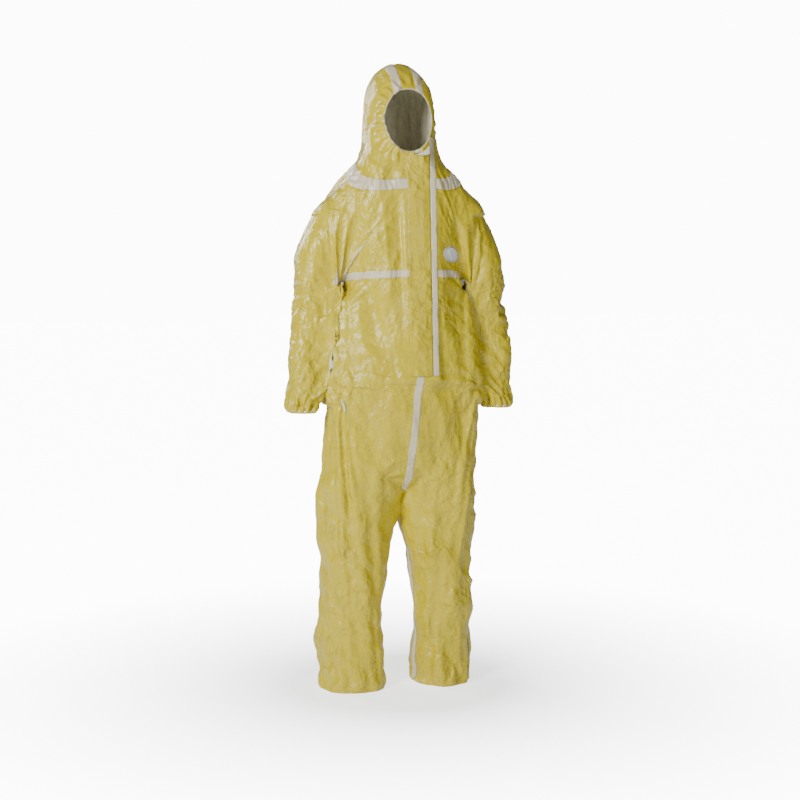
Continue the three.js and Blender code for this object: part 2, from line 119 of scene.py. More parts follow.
def tube(name, rows, side=1, filled=False, level=True, columns=72):
    """A closed tube through its sections; filled gives the dress form inside it."""
    step = 0.012
    along = np.concatenate([[0], np.cumsum(np.linalg.norm(np.diff(rows[:, :3], axis=0), axis=1))])
    at = np.linspace(0, along[-1], max(4, int(along[-1] / step)))
    rows = np.stack([np.interp(at, along, rows[:, i]) for i in range(rows.shape[1])], axis=1)
    for _ in range(3):
        rows[1:-1] = (rows[:-2] + 2 * rows[1:-1] + rows[2:]) / 4
    centre = rows[:, :3] * (side, 1, 1) + (0, 0, HEM)
    rise = np.array([(0, 0, 1)] * len(rows)) if level else -np.gradient(centre, axis=0)
    rise = rise / np.linalg.norm(rise, axis=1)[:, None]
    ahead = np.array((0, -1, 0)) + rise * rise[:, 1:2]
    ahead = ahead / np.linalg.norm(ahead, axis=1)[:, None]
    across = np.cross(rise, ahead)
    share = rows[:, 5] if filled else np.ones(len(rows))
    turn = np.linspace(0, 2 * math.pi, columns, endpoint=False)
    c, s = np.cos(turn), np.sin(turn)
    square = 2.35  # 2 would make each section an ellipse; more makes it squarer
    reach = (abs(c) ** square + abs(s) ** square) ** (-1 / square)
    points = (centre[:, None]
              + across[:, None] * (c * reach)[None, :, None] * (rows[:, 3] * share)[:, None, None]
              + ahead[:, None] * (s * reach)[None, :, None] * (rows[:, 4] * share)[:, None, None])
    verts = points.reshape(-1, 3).tolist() + [centre[0].tolist(), centre[-1].tolist()]
    faces = []
    for i in range(len(rows) - 1):
        for j in range(columns):
            k = (j + 1) % columns
            faces.append((i * columns + j, (i + 1) * columns + j,
                          (i + 1) * columns + k, i * columns + k))
    last = (len(rows) - 1) * columns
    for j in range(columns):
        k = (j + 1) % columns
        faces.append((len(verts) - 2, j, k))
        faces.append((len(verts) - 1, last + k, last + j))
    return new_object(name, verts, faces)


# The plane that parts each sleeve from the trunk under the armpit, given for the wearer's left
ARM_PLANE = Vector((0.377, 0, 0.057)).normalized()
ARM_POINT = Vector((0.175, 0, HEM + 1.175))


def part_arms(obj, outwards):
    """Keeps a trunk or a sleeve 10 mm on its own side of the arm plane, below the armpit."""
    for v in obj.data.vertices:
        side = 1 if v.co.x > 0 else -1
        normal = Vector((ARM_PLANE.x * side, 0, ARM_PLANE.z))
        off = (v.co - Vector((ARM_POINT.x * side, 0, ARM_POINT.z))).dot(normal)
        room = 0.010 * min(1, max(0, (ARM_POINT.z + 0.03 - v.co.z) / 0.04))
        if room and off * outwards < room:
            v.co += normal * (room * outwards - off)


def whole_form(name, filled):
    """Trunk, sleeves and legs run together into one closed form by a voxel remesh."""
    trunk = np.column_stack([np.zeros(len(TRUNK)), TRUNK[:, (3, 0, 1, 2, 4)]])
    tubes = [tube(name, trunk, filled=filled)]
    part_arms(tubes[0], -1)
    for side in (1, -1):
        tubes.append(tube("sleeve", SLEEVE, side, filled, level=False))
        part_arms(tubes[-1], 1)
        tubes.append(tube("leg", LEG, side, filled))
    bpy.ops.object.select_all(action="DESELECT")
    for obj in tubes:
        obj.select_set(True)
    bpy.context.view_layer.objects.active = tubes[0]
    bpy.ops.object.join()
    form = tubes[0]
    remesh = form.modifiers.new("one skin", "REMESH")
    remesh.mode = "VOXEL"
    remesh.voxel_size = MESH_STEP * (1.6 if filled else 1)
    smooth = form.modifiers.new("soften", "SMOOTH")
    smooth.factor = 0.5
    smooth.iterations = 8
    for modifier in (remesh.name, smooth.name):
        bpy.ops.object.modifier_apply(modifier=modifier)
    form.select_set(False)
    return form


suit = whole_form("suit", filled=False)
form = whole_form("dress_form", filled=True)

# A thin board on each side keeps the sleeve and the trunk apart while the cloth settles
bm = bmesh.new()
bm.from_mesh(form.data)
for side in (-1, 1):
    through = Vector((ARM_PLANE.x * side, 0, ARM_PLANE.z))
    down = Vector((ARM_PLANE.z * side, 0, -ARM_PLANE.x))
    board = Matrix((through * 0.004, Vector((0, 0.26, 0)), down * 0.34)).transposed().to_4x4()
    board.translation = Vector((ARM_POINT.x * side, 0, ARM_POINT.z)) + down * (0.025 + 0.17)
    corners = bmesh.ops.create_cube(bm, size=1, matrix=board)["verts"]
    bmesh.ops.recalc_face_normals(bm, faces=list({f for v in corners for f in v.link_faces}))
bm.to_mesh(form.data)
bm.free()

# The zip runs in a straight strip down the front, which stays flat: its foot and its direction
# come from the coil, and its plane is the fabric's outer face.
coil_low, coil_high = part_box("zip_chain_left"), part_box("zip_chain_right")
ZIP_X = (coil_low[0].x + coil_high[1].x) / 2
slide_axis = [j for j in frame["joints"] if j["type"] == "slide"][0]["axis"]
ZIP_UP = Vector(slide_axis).normalized()
ZIP_OUT = Vector((1, 0, 0)).cross(ZIP_UP)


def placket_face():
    """How far the fabric's outer face lies along ZIP_OUT, measured on the CAD panel's front."""
    verts = [v.co for v in frame["nodes"]["yoke_sleeve_right"].data.vertices]
    return max(co.dot(ZIP_OUT) for co in verts if co.y < 0 and abs(co.x - ZIP_X) < 0.03)


ZIP_FACE = placket_face()
FACE_LOW, FACE_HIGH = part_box("face_elastic")
FACE_Z = (FACE_LOW.z + FACE_HIGH.z) / 2
CUFF_INNER = 0.236  # the sleeves' ends lie further out than this, the trunk and legs less far
FACE_HALF = ((FACE_HIGH.x - FACE_LOW.x) / 2 - 0.008, (FACE_HIGH.z - FACE_LOW.z) / 2 - 0.008)


def trim_edges(obj):
    """Opens the face, cuffs and hems, and lays the placket strip flat."""
    bm = bmesh.new()
    bm.from_mesh(obj.data)
    for v in bm.verts:
        proud = v.co.dot(ZIP_OUT) - ZIP_FACE
        if proud > 0:
            v.co -= ZIP_OUT * proud

    def at_face(co):
        return math.hypot(co.x / FACE_HALF[0], (co.z - FACE_Z) / FACE_HALF[1])

    gone = [f for f in bm.faces for c in [f.calc_center_median()]
            if c.z < HEM or (abs(c.x) > CUFF_INNER and c.z < CUFF)
            or (c.y < 0 and at_face(c) < 1)]
    bmesh.ops.delete(bm, geom=gone, context="FACES")
    for v in bm.verts:
        if not v.is_boundary:
            continue
        if v.co.z < HEM + 0.02:
            v.co.z = HEM
        elif abs(v.co.x) > CUFF_INNER and v.co.z < CUFF + 0.02:
            v.co.z = CUFF
        elif v.co.z > FACE_Z - 0.2:
            k = at_face(v.co)
            v.co.x /= k
            v.co.z = FACE_Z + (v.co.z - FACE_Z) / k
    bm.to_mesh(obj.data)
    bm.free()


trim_edges(suit)

rest = np.empty(len(suit.data.vertices) * 3)
suit.data.vertices.foreach_get("co", rest)
rest = rest.reshape(-1, 3)


def ramp(value, start, end):
    """0 at start, 1 at end, smooth between."""
    t = np.clip((value - start) / (end - start), 0, 1)
    return t * t * (3 - 2 * t)


zip_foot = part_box("zip_bottom_stop")[0].z


def strip_share(points):
    """1 on the flat placket strip that carries the zip, fading to 0 beside it."""
    x, y, z = points.T
    strip = (y < 0) * ramp(abs(x - ZIP_X - 0.010), 0.062, 0.044)
    strip = strip * ramp(z, zip_foot - 0.05, zip_foot - 0.02)
    return strip * ramp(z, FACE_HIGH.z + 0.01, FACE_HIGH.z)


def held_share(points):
    """How firmly the placket strip, elastic edges and hems hold the cloth there, 0 to 1."""
    x, y, z = points.T
    around = np.hypot(x / FACE_HALF[0], (z - FACE_Z) / FACE_HALF[1])
    face = (y < 0) * ramp(around, 1.35, 1.12)
    cuff = (abs(x) > CUFF_INNER) * ramp(z, CUFF + 0.03, CUFF + 0.012)
    return np.maximum.reduce([strip_share(points), face, cuff, ramp(z, HEM + 0.03, HEM + 0.01)])


held = held_share(rest)
group = suit.vertex_groups.new(name="held")
for i in np.nonzero(held > 0.001)[0]:
    group.add([int(i)], float(held[i]), "REPLACE")
# The cloth is cut longer and wider than the space it is worn in, by these shares of its size
LEG_EXTRA, ARM_EXTRA, WIDE_EXTRA = 0.11, 0.10, 0.015
over_hem = rest[:, 2] - HEM
on_sleeve = abs(rest[:, 0]) > 0.180 + 0.14 * np.clip((1.185 - over_hem) / 0.38, 0, 1)
on_sleeve &= over_hem < 1.34


def gathered(height, rows):
    """Cloth gathered between this height and the top of the rows of (height, share)."""
    at, share = np.array(rows).T
    total = np.concatenate([[0], np.cumsum((share[1:] + share[:-1]) / 2 * np.diff(at))])
    return total[-1] - np.interp(height, at, total)


down_trunk = gathered(over_hem, [(0, .04), (.05, LEG_EXTRA), (.42, LEG_EXTRA), (.60, .06),
                                 (.75, .018), (1.20, .014), (1.35, 0), (1.80, 0)])
down_sleeve = gathered(over_hem, [(.79, 0), (.84, ARM_EXTRA), (1.15, ARM_EXTRA), (1.30, .04),
                                  (1.38, 0), (1.80, 0)])
cut = rest.copy()
cut[:, 2] -= np.where(on_sleeve, down_sleeve, down_trunk)
middle = np.where(on_sleeve, 0.26, np.where(over_hem < 0.62, 0.125, 0)) * np.sign(rest[:, 0])
cut[:, 0] = middle + (rest[:, 0] - middle) * (1 + WIDE_EXTRA)
cut[:, 1] *= 1 + WIDE_EXTRA

# An uneven start, so that the buckles don't come out in rings
start = rest.copy()
normals = np.empty(rest.size)
suit.data.vertices.foreach_get("normal", normals)
normals = normals.reshape(-1, 3)
for i, (x, y, z) in enumerate(rest):
    broad = noise.noise(Vector((x * 9 + z * 6, y * 9, z * 14 - x * 8)))
    close = noise.noise(Vector((x * 24, y * 24 + 7, z * 30)))
    start[i] += normals[i] * (0.005 * broad + 0.003 * close) * (1 - held[i])
suit.data.vertices.foreach_set("co", start.ravel())
suit.shape_key_add(name="worn", from_mix=False)
cut_key = suit.shape_key_add(name="cut", from_mix=False)
cut_key.data.foreach_set("co", cut.ravel())
cut_key.value = 0

form.modifiers.new("form", "COLLISION")
form.collision.thickness_outer = 0.003
form.collision.cloth_friction = 5
form.collision.damping = 0.5

cloth = suit.modifiers.new("drape", "CLOTH")
cloth.settings.quality = 6
cloth.settings.mass = 0.15
cloth.settings.air_damping = 2.0
cloth.settings.tension_stiffness = 50
cloth.settings.compression_stiffness = 50
cloth.settings.shear_stiffness = 25
cloth.settings.bending_stiffness = 16
cloth.settings.tension_damping = 8
cloth.settings.compression_damping = 8
cloth.settings.shear_damping = 5
cloth.settings.bending_damping = 1.5
cloth.settings.vertex_group_mass = "held"
cloth.settings.pin_stiffness = 1.0
cloth.settings.rest_shape_key = cut_key
cloth.settings.use_pressure = True
cloth.settings.uniform_pressure_force = 0.6
cloth.settings.effector_weights.gravity = 0.3
cloth.collision_settings.distance_min = 0.003
cloth.collision_settings.collision_quality = 2
cloth.collision_settings.use_self_collision = False
FRAMES = 22
cloth.point_cache.frame_end = FRAMES
scene = bpy.context.scene
scene.frame_end = FRAMES
for f in range(1, FRAMES + 1):
    scene.frame_set(f)
evaluated = suit.evaluated_get(bpy.context.evaluated_depsgraph_get())
worn = np.empty(rest.size)
evaluated.data.vertices.foreach_get("co", worn)
worn = worn.reshape(-1, 3)
suit.modifiers.remove(cloth)
suit.shape_key_clear()
scene.frame_set(1)
bpy.data.objects.remove(form)

# The neck seam's plane, which drops towards the front, and the heights of two other seams
NECK_PLANE = Vector((0, -0.45, 1)).normalized()
NECK_HEIGHT, CHEST_HEIGHT, FORK_HEIGHT = 1.485, 1.183, 0.566
NECK_POINT = Vector((0, 0, HEM + NECK_HEIGHT))

# The draped skin is refined to half its mesh step, and each point keeps its place before the drape
suit.data.vertices.foreach_set("co", worn.ravel())
kept = suit.data.attributes.new("cut", "FLOAT_VECTOR", "POINT")
kept.data.foreach_set("vector", rest.ravel())
refine = suit.modifiers.new("refine", "SUBSURF")
refine.levels = 1
bpy.ops.object.select_all(action="DESELECT")
bpy.context.view_layer.objects.active = suit
suit.select_set(True)
bpy.ops.object.modifier_apply(modifier=refine.name)
suit.select_set(False)


def read(mesh, name):
    """A float vector attribute, or the points or normals of a mesh, as an array."""
    values = np.empty(len(mesh.vertices) * 3)
    if name in ("co", "normal"):
        mesh.vertices.foreach_get(name, values)
    else:
        mesh.attributes[name].data.foreach_get("vector", values)
    return values.reshape(-1, 3)


cut, worn, normals = read(suit.data, "cut"), read(suit.data, "co"), read(suit.data, "normal")
height = cut[:, 2] - HEM


def field(points, scale, seed):
    """Smooth noise at each point, -1 to 1."""
    scaled = points * scale + seed
    return np.array([noise.noise(p) for p in scaled.tolist()])


def facets(points, scale, seed, bent=0.55):
    """Flat facets that meet in sharp creases, as stiff film buckles: -1 to 1 at each point."""
    turn = Matrix.Rotation(0.7, 3, "X") @ Matrix.Rotation(0.6, 3, "Z")
    grid = (points * scale) @ np.array(turn) + seed
    sway = np.stack([field(points * scale, 0.55, seed + k * 9.1) for k in range(3)], axis=1)
    grid += sway * bent
    cell = np.floor(grid).astype(np.int64)
    part = grid - cell
    order = np.argsort(-part, axis=1)
    ranked = np.take_along_axis(part, order, axis=1)
    weights = np.column_stack([1 - ranked[:, 0], ranked[:, 0] - ranked[:, 1],
                               ranked[:, 1] - ranked[:, 2], ranked[:, 2]])
    corner = cell.copy()
    total = np.zeros(len(points))
    rows = np.arange(len(points))
    for k in range(4):
        if k:
            corner[rows, order[:, k - 1]] += 1
        mixed = corner @ np.array([73856093, 19349663, 83492791]) + int(seed * 1000)
        mixed = (mixed ^ (mixed >> 13)) * 1274126177 % 2147483647
        total += weights[:, k] * ((mixed ^ (mixed >> 16)) % 10007 / 5003.5 - 1)
    return total


# Buckles of the stiff film: lying across the legs and the elbows, upright in the trunk
lower = ramp(height, 0.80, 0.50)
sleeves = ramp(abs(cut[:, 0]), 0.19, 0.23) * (height < 1.36)
trunk = (1 - lower) * (1 - sleeves)
on_hood = ramp(height, 1.46, 1.50)
open_cloth = 1 - strip_share(cut)
slanted = cut.copy()
slanted[:, 2] += 0.7 * cut[:, 0]
depth = facets(slanted, np.array((8, 8, 12)), 3.1) * (0.0120 * lower + 0.0120 * sleeves)
crossed = facets(slanted * (-1, 1, 1), np.array((17, 17, 26)), 8.7)
depth += crossed * (0.0055 * lower + 0.0050 * sleeves)
upright = facets(cut + 0.25 * cut[:, [2, 0, 0]] * (1, 0, 0), np.array((13, 12, 4.5)), 5.3)
depth += upright * 0.0105 * trunk * (1 - 0.5 * on_hood)
depth += facets(slanted, np.array((24, 22, 11)), 1.9) * 0.0042 * trunk
in_patches = np.clip(field(cut, 6, 4.4) + 0.55, 0.1, 1.1)
depth += facets(cut, np.array((46, 46, 52)), 2.2) * 0.0015 * in_patches
depth += facets(cut, np.array((105, 105, 120)), 6.1) * 0.0005
sunk = abs(field(slanted, (9, 7, 15), 4.9)) * 0.006 * (lower + sleeves)
depth -= sunk * ramp(field(cut, 4, 9.3), -0.1, 0.3)
depth -= abs(field(slanted, (14, 10, 4), 7.9)) * 0.006 * trunk * (1 - on_hood)
depth *= open_cloth
over_neck = (cut - (0, 0, HEM + NECK_HEIGHT)) @ np.array(NECK_PLANE)
by_chest = abs(height - CHEST_HEIGHT) + 0.5 * (abs(cut[:, 0]) > 0.18)
by_seam = np.minimum(abs(over_neck), by_chest)
drawn = np.sin(cut[:, 0] * 420 + cut[:, 1] * 300 + 3 * field(cut, 18, 2.9))
depth += drawn * 0.0011 * ramp(by_seam, 0.022, 0.006) * open_cloth
label_low, label_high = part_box("chest_label")
label_mid = (label_low + label_high) / 2
by_label = np.hypot((cut[:, 0] - label_mid.x) / 0.045, (cut[:, 2] - label_mid.z) / 0.034)
depth *= 1 - 0.85 * ramp(by_label, 1.5, 0.9) * (cut[:, 1] < 0)


def gathers(turns, angle, away, reach, deep, seed):
    """Ripples of cloth drawn up by an elastic: away is the distance from it, in metres."""
    wander = field(cut * 1.0, 22, seed)
    ripple = np.sin(turns * angle + 3.0 * wander)
    ripple = np.sign(ripple) * abs(ripple) ** 0.7
    return deep * ripple * ramp(away, -0.004, reach * 0.22) * ramp(away, reach, reach * 0.25)


in_front = cut[:, 1] < 0.02
ring = np.hypot(cut[:, 0] / FACE_HALF[0], (cut[:, 2] - FACE_Z) / FACE_HALF[1])
face_turn = np.arctan2(cut[:, 0] / FACE_HALF[0], (cut[:, 2] - FACE_Z) / FACE_HALF[1])
depth += gathers(25, face_turn, (ring - 1) * 0.078, 0.042, 0.0042, 1.3) * in_front * open_cloth
cuff_turn = np.arctan2(cut[:, 1] + 0.033, abs(cut[:, 0]) - 0.288)
at_wrist = (abs(cut[:, 0]) > 0.225) & (height < 0.95)
depth += gathers(13, cuff_turn, cut[:, 2] - CUFF, 0.060, 0.0060, 2.6) * at_wrist
hem_turn = np.arctan2(cut[:, 1], abs(cut[:, 0]) - 0.137)
depth += gathers(11, hem_turn, height, 0.075, 0.0042, 3.7) * (height < 0.2)
waist_low, waist_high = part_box("waist_elastic")
from_waist = abs(cut[:, 2] - (waist_low.z + waist_high.z) / 2)
behind = ramp(abs(cut[:, 0]), waist_high.x + 0.02, waist_high.x - 0.02)
behind = ramp(cut[:, 1], 0.01, 0.05) * behind
pucker = np.sin(cut[:, 0] * 260 + 2.5 * field(cut, 14, 7.7))
depth += 0.0045 * pucker * ramp(from_waist, 0.07, 0.004) * behind
worn += normals * depth[:, None]

# Under the flap, 100 mm wide, nothing stands out past the zip's plane
proud = worn @ np.array(ZIP_OUT) - ZIP_FACE
near_zip = (cut[:, 1] < 0) & (abs(cut[:, 0] - 0.031) < 0.05) & (height > 0.88)
worn -= np.outer(np.where(near_zip & (proud > 0), proud, 0), ZIP_OUT)
suit.data.vertices.foreach_set("co", worn.ravel())
suit.data.update()
lift = read(suit.data, "normal")

# The skin is cut flat along its seams and tape edges, in the shape it had before the drape
for name, values in (("worn", worn), ("lift", lift)):
    layer = suit.data.attributes.new(name, "FLOAT_VECTOR", "POINT")
    layer.data.foreach_set("vector", values.ravel())
suit.data.vertices.foreach_set("co", cut.ravel())
bm = bmesh.new()
bm.from_mesh(suit.data)

# Planes along the slanted seams, and how far each zip side stays from the middle of the zip
CROTCH_PLANE = Vector((0.349, 0, -0.020)).normalized()
CROTCH_POINT = Vector((0, 0, HEM + FORK_HEIGHT))
UNDERARM_PLANE = Vector((0, 0.353, -0.033)).normalized()
UNDERARM_POINT = Vector((0, 0, HEM + 1.153))
CHEST = HEM + CHEST_HEIGHT
FORK = HEM + FORK_HEIGHT
GAP = 0.006


def slice_skin(point, normal, offsets, where):
    """Cuts the faces that where(centre) picks, at each distance off the plane."""
    for offset in offsets:
        place = point + normal * offset
        faces = [f for f in bm.faces for c in [f.calc_center_median()]
                 if abs((c - place).dot(normal)) < 0.012 and where(c)]
        edges = {e for f in faces for e in f.edges}
        verts = {v for f in faces for v in f.verts}
        bmesh.ops.bisect_plane(bm, geom=list(verts) + list(edges) + faces, dist=1e-6,
                               plane_co=place, plane_no=normal)


X, Y, Z = Vector((1, 0, 0)), Vector((0, 1, 0)), Vector((0, 0, 1))
slice_skin(NECK_POINT, NECK_PLANE, (-0.0125, 0, 0.0125), lambda c: True)
slice_skin(Vector((0, 0, CHEST)), Z, (-0.010, 0, 0.010), lambda c: abs(c.x) < 0.185)
hood_strip = lambda c: c.z > HEM + 1.44 and (c.y > 0 or c.z > FACE_HIGH.z - 0.04)
for side in (-1, 1):
    slice_skin(X * 0.032 * side, X, (-0.0115, 0, 0.0115), hood_strip)
    slice_skin(Vector((ARM_POINT.x * side, 0, ARM_POINT.z)),
               Vector((ARM_PLANE.x * side, 0, ARM_PLANE.z)), (0,),
               lambda c: HEM + 1.08 < c.z < CHEST + 0.02 and c.x * side > 0)
    slice_skin(UNDERARM_POINT, UNDERARM_PLANE, (-0.010, 0.010),
               lambda c: c.x * side > 0.17 and c.z < HEM + 1.17)
slice_skin(Vector((ZIP_X, 0, 0)), X, (-GAP, GAP),
           lambda c: c.y < -0.03 and c.z > zip_foot - 0.02)
slice_skin(Vector((0, 0, zip_foot)), Z, (0,),
           lambda c: c.y < -0.03 and abs(c.x - ZIP_X) < 0.02)
seam_low, seam_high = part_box("flap_seam_tape")
for x in (seam_low.x, seam_high.x):
    slice_skin(Vector((x, 0, 0)), X, (0,), lambda c: c.y < -0.03 and c.z > seam_low.z - 0.02)
slice_skin(CROTCH_POINT, CROTCH_PLANE, (-0.010, 0, 0.010),
           lambda c: c.y < 0 and FORK - 0.03 < c.z < zip_foot + 0.01)
slice_skin(Vector(), X, (-0.010, 0, 0.010),
           lambda c: c.y > 0 and FORK - 0.03 < c.z < HEM + 1.56)
slice_skin(Vector(), Y, (-0.010, 0.010), lambda c: c.z < FORK + 0.02 and abs(c.x) < 0.14)
for z in (waist_low.z, waist_high.z):
    slice_skin(Vector((0, 0, z)), Z, (0,), lambda c: c.y > 0)

bm.verts.ensure_lookup_table()
worn_layer = bm.verts.layers.float_vector["worn"]
lift_layer = bm.verts.layers.float_vector["lift"]
skin_cut = np.array([v.co[:] for v in bm.verts])
skin_worn = np.array([v[worn_layer][:] for v in bm.verts])
skin_lift = np.array([v[lift_layer][:] for v in bm.verts])
skin_lift /= np.linalg.norm(skin_lift, axis=1)[:, None] + 1e-9
skin_faces = [[v.index for v in f.verts] for f in bm.faces]
centre = np.array([f.calc_center_median()[:] for f in bm.faces])

# The open edges, each as one ring of points in order: face, two cuffs, two hems
ring_edges = {}
for e in bm.edges:
    if e.is_boundary:
        a, b = e.verts[0].index, e.verts[1].index
        ring_edges.setdefault(a, []).append(b)
        ring_edges.setdefault(b, []).append(a)
rings = []
while ring_edges:
    first = next(iter(ring_edges))
    loop, at = [first], ring_edges[first][0]
    while at != first:
        loop.append(at)
        onward = [n for n in ring_edges[at] if n != loop[-2]]
        at = onward[0]
    for i in loop:
        del ring_edges[i]
    rings.append(loop)
bm.free()
bpy.data.objects.remove(suit)


def side_of(points):
    """True on the wearer's left of the seam that parts the two halves there."""
    x, y, z = points.T
    line = (z - FORK) / 0.349 * 0.020
    front = np.where(z > zip_foot, ZIP_X, np.where(z > FORK, line, 0))
    return x > np.where(y < 0, front, 0)


cx, cy, cz = centre.T
is_left = side_of(centre)
in_gap = (cy < 0) & (abs(cx - ZIP_X) < GAP) & (cz > zip_foot) & (cz < FACE_Z)
is_hood = (centre - np.array(NECK_POINT)) @ np.array(NECK_PLANE) > 0
is_crown = is_hood & (abs(cx) < 0.032) & ((cy > 0) | (cz > FACE_Z))
past_arm = (abs(cx) - ARM_POINT.x) * ARM_PLANE.x + (cz - ARM_POINT.z) * ARM_PLANE.z > 0
is_upper = ~is_hood & ((cz > CHEST) | (past_arm & (cz > CUFF - 0.001)))
hood_left = np.where((cy < 0) & (cz < FACE_Z), is_left, cx > 0)


def piece(name, mask, raised, thick, materials, cad):
    """A part of the skin as its own closed sheet, raised off it, in place of its CAD node."""
    used = np.nonzero(mask)[0]
    faces = [skin_faces[i] for i in used]
    points = sorted({i for face in faces for i in face})
    place = {old: new for new, old in enumerate(points)}
    obj = new_object(name, (skin_worn[points] + skin_lift[points] * raised).tolist(),
                     [[place[i] for i in face] for face in faces])
    obj.data.shade_smooth()
    for material in materials:
        obj.data.materials.append(material)
    solid = obj.modifiers.new("thickness", "SOLIDIFY")
    solid.thickness = thick
    solid.offset = -1
    solid.material_offset = len(materials) - 1
    solid.material_offset_rim = 0
    bpy.ops.object.select_all(action="DESELECT")
    bpy.context.view_layer.objects.active = obj
    obj.select_set(True)
    bpy.ops.object.modifier_apply(modifier=solid.name)
    obj.select_set(False)
    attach(obj, "suit")
    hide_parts(cad)
    return obj


# ---- The seven fabric panels -------------------------------------------------------------------
# Yellow film laminated on a white nonwoven: crown strip, two hood sides, two yokes with sleeves,
# and two body-and-leg panels, welded and taped edge to edge, with the bare nonwoven inside.


def shader_group(name, inputs, outputs):
    """A shader node group with a socket for each (name, default) and (name, kind)."""
    group = bpy.data.node_groups.new(name, "ShaderNodeTree")
    for label, value in inputs:
        socket = group.interface.new_socket(label, in_out="INPUT", socket_type="NodeSocketFloat")
        socket.default_value = value
    for label, kind in outputs:
        group.interface.new_socket(label, in_out="OUTPUT", socket_type=kind)
    return group, group.nodes.new("NodeGroupInput"), group.nodes.new("NodeGroupOutput")


def add_node(tree, kind, settings=None, **links):
    """A node with its settings, and each input, named or numbered, linked or set."""
    node = tree.nodes.new(kind)
    for key, value in (settings or {}).items():
        setattr(node, key, value)
    for key, value in links.items():
        numbered = key[0] == "i" and key[1:].isdigit()
        socket = node.inputs[int(key[1:]) if numbered else key]
        if isinstance(value, bpy.types.NodeSocket):
            tree.links.new(value, socket)
        else:
            socket.default_value = value
    return node


# Film crinkle: short straight wrinkles in patches, over a fine calendered emboss
crinkle, g_in, g_out = shader_group(
    "film crinkle", [("Wrinkle", 0.5), ("Emboss", 0.3)],
    [("Height", "NodeSocketFloat"), ("Patch", "NodeSocketFloat")])
place = add_node(crinkle, "ShaderNodeTexCoord").outputs["Object"]
warp = add_node(crinkle, "ShaderNodeTexNoise", Vector=place, Scale=9.0, Detail=2.0)
moved = add_node(crinkle, "ShaderNodeVectorMath", {"operation": "MULTIPLY_ADD"},
                 i0=warp.outputs["Color"], i1=(0.10, 0.10, 0.10), i2=place)
cells = add_node(crinkle, "ShaderNodeTexVoronoi", {"feature": "F1"}, Vector=moved.outputs[0],
                 Scale=26.0)
cells_fine = add_node(crinkle, "ShaderNodeTexVoronoi", {"feature": "F1"}, Vector=moved.outputs[0],
                      Scale=70.0)
patch = add_node(crinkle, "ShaderNodeTexNoise", Vector=place, Scale=5.0, Detail=3.0)
patch_mask = add_node(crinkle, "ShaderNodeMapRange", i0=patch.outputs["Fac"], i1=0.40, i2=0.62)
both = add_node(crinkle, "ShaderNodeMath", {"operation": "MULTIPLY_ADD"},
                i0=cells_fine.outputs["Distance"], i1=0.35, i2=cells.outputs["Distance"])
in_patch = add_node(crinkle, "ShaderNodeMath", {"operation": "MULTIPLY_ADD"},
                    i0=patch_mask.outputs[0], i1=0.7, i2=0.3)
wrinkle = add_node(crinkle, "ShaderNodeMath", {"operation": "MULTIPLY"}, i0=both.outputs[0],
                   i1=in_patch.outputs[0])
wrinkle = add_node(crinkle, "ShaderNodeMath", {"operation": "MULTIPLY"}, i0=wrinkle.outputs[0],
                   i1=g_in.outputs["Wrinkle"])
emboss = add_node(crinkle, "ShaderNodeTexNoise", Vector=place, Scale=420.0, Detail=2.0)
emboss = add_node(crinkle, "ShaderNodeMath", {"operation": "MULTIPLY"}, i0=emboss.outputs["Fac"],
                  i1=g_in.outputs["Emboss"])
total = add_node(crinkle, "ShaderNodeMath", {"operation": "ADD"}, i0=wrinkle.outputs[0],
                 i1=emboss.outputs[0])
crinkle.links.new(total.outputs[0], g_out.inputs["Height"])
crinkle.links.new(patch_mask.outputs[0], g_out.inputs["Patch"])


def two_tone(name, colours, roughness, bump=0, texture="ShaderNodeTexNoise", settings=None,
             **sizes):
    """A material of two colours mixed by a texture, whose pattern can also raise the surface."""
    material = bpy.data.materials.new(name)
    material.use_nodes = True
    tree = material.node_tree
    shader = tree.nodes["Principled BSDF"]
    place = add_node(tree, "ShaderNodeTexCoord").outputs["Object"]
    pattern = add_node(tree, texture, settings, Vector=place, **sizes).outputs["Fac"]
    mix = add_node(tree, "ShaderNodeMix", {"data_type": "RGBA"}, Factor=pattern)
    mix.inputs[6].default_value = colours[0] + (1,)
    mix.inputs[7].default_value = colours[1] + (1,)
    tree.links.new(mix.outputs[2], shader.inputs["Base Color"])
    shader.inputs["Roughness"].default_value = roughness
    if bump:
        raised = add_node(tree, "ShaderNodeBump", Height=pattern, Distance=0.001, Strength=bump)
        tree.links.new(raised.outputs[0], shader.inputs["Normal"])
    return material


def film(name, colours, roughness, wrinkle, emboss, coat):
    """A glossy crinkled film: two colours in soft patches, and a thin clear coat."""
    material = two_tone(name, colours, roughness, Scale=7.0, Detail=4.0)
    tree = material.node_tree
    shader = tree.nodes["Principled BSDF"]
    effect = add_node(tree, "ShaderNodeGroup", {"node_tree": crinkle}, Wrinkle=wrinkle,
                      Emboss=emboss)
    rough = add_node(tree, "ShaderNodeMapRange", i0=effect.outputs["Patch"], i3=roughness - 0.05,
                     i4=roughness + 0.08)
    tree.links.new(rough.outputs[0], shader.inputs["Roughness"])
    bump = add_node(tree, "ShaderNodeBump", Height=effect.outputs["Height"], Distance=0.008,
                    Strength=0.75)
    tree.links.new(bump.outputs[0], shader.inputs["Normal"])
    shader.inputs["IOR"].default_value = 1.5
    shader.inputs["Coat Weight"].default_value = coat
    shader.inputs["Coat Roughness"].default_value = 0.24
    return material


yellow_film = film("yellow film", ((0.54, 0.42, 0.002), (0.66, 0.54, 0.010)), 0.31, 1.6, 0.10, 0.35)

# The inner face: soft spunbond nonwoven, off-white with the yellow showing through a little
nonwoven = two_tone("nonwoven lining", ((0.62, 0.58, 0.40), (0.78, 0.75, 0.60)), 0.85, bump=0.4,
                    Scale=260.0, Detail=5.0)

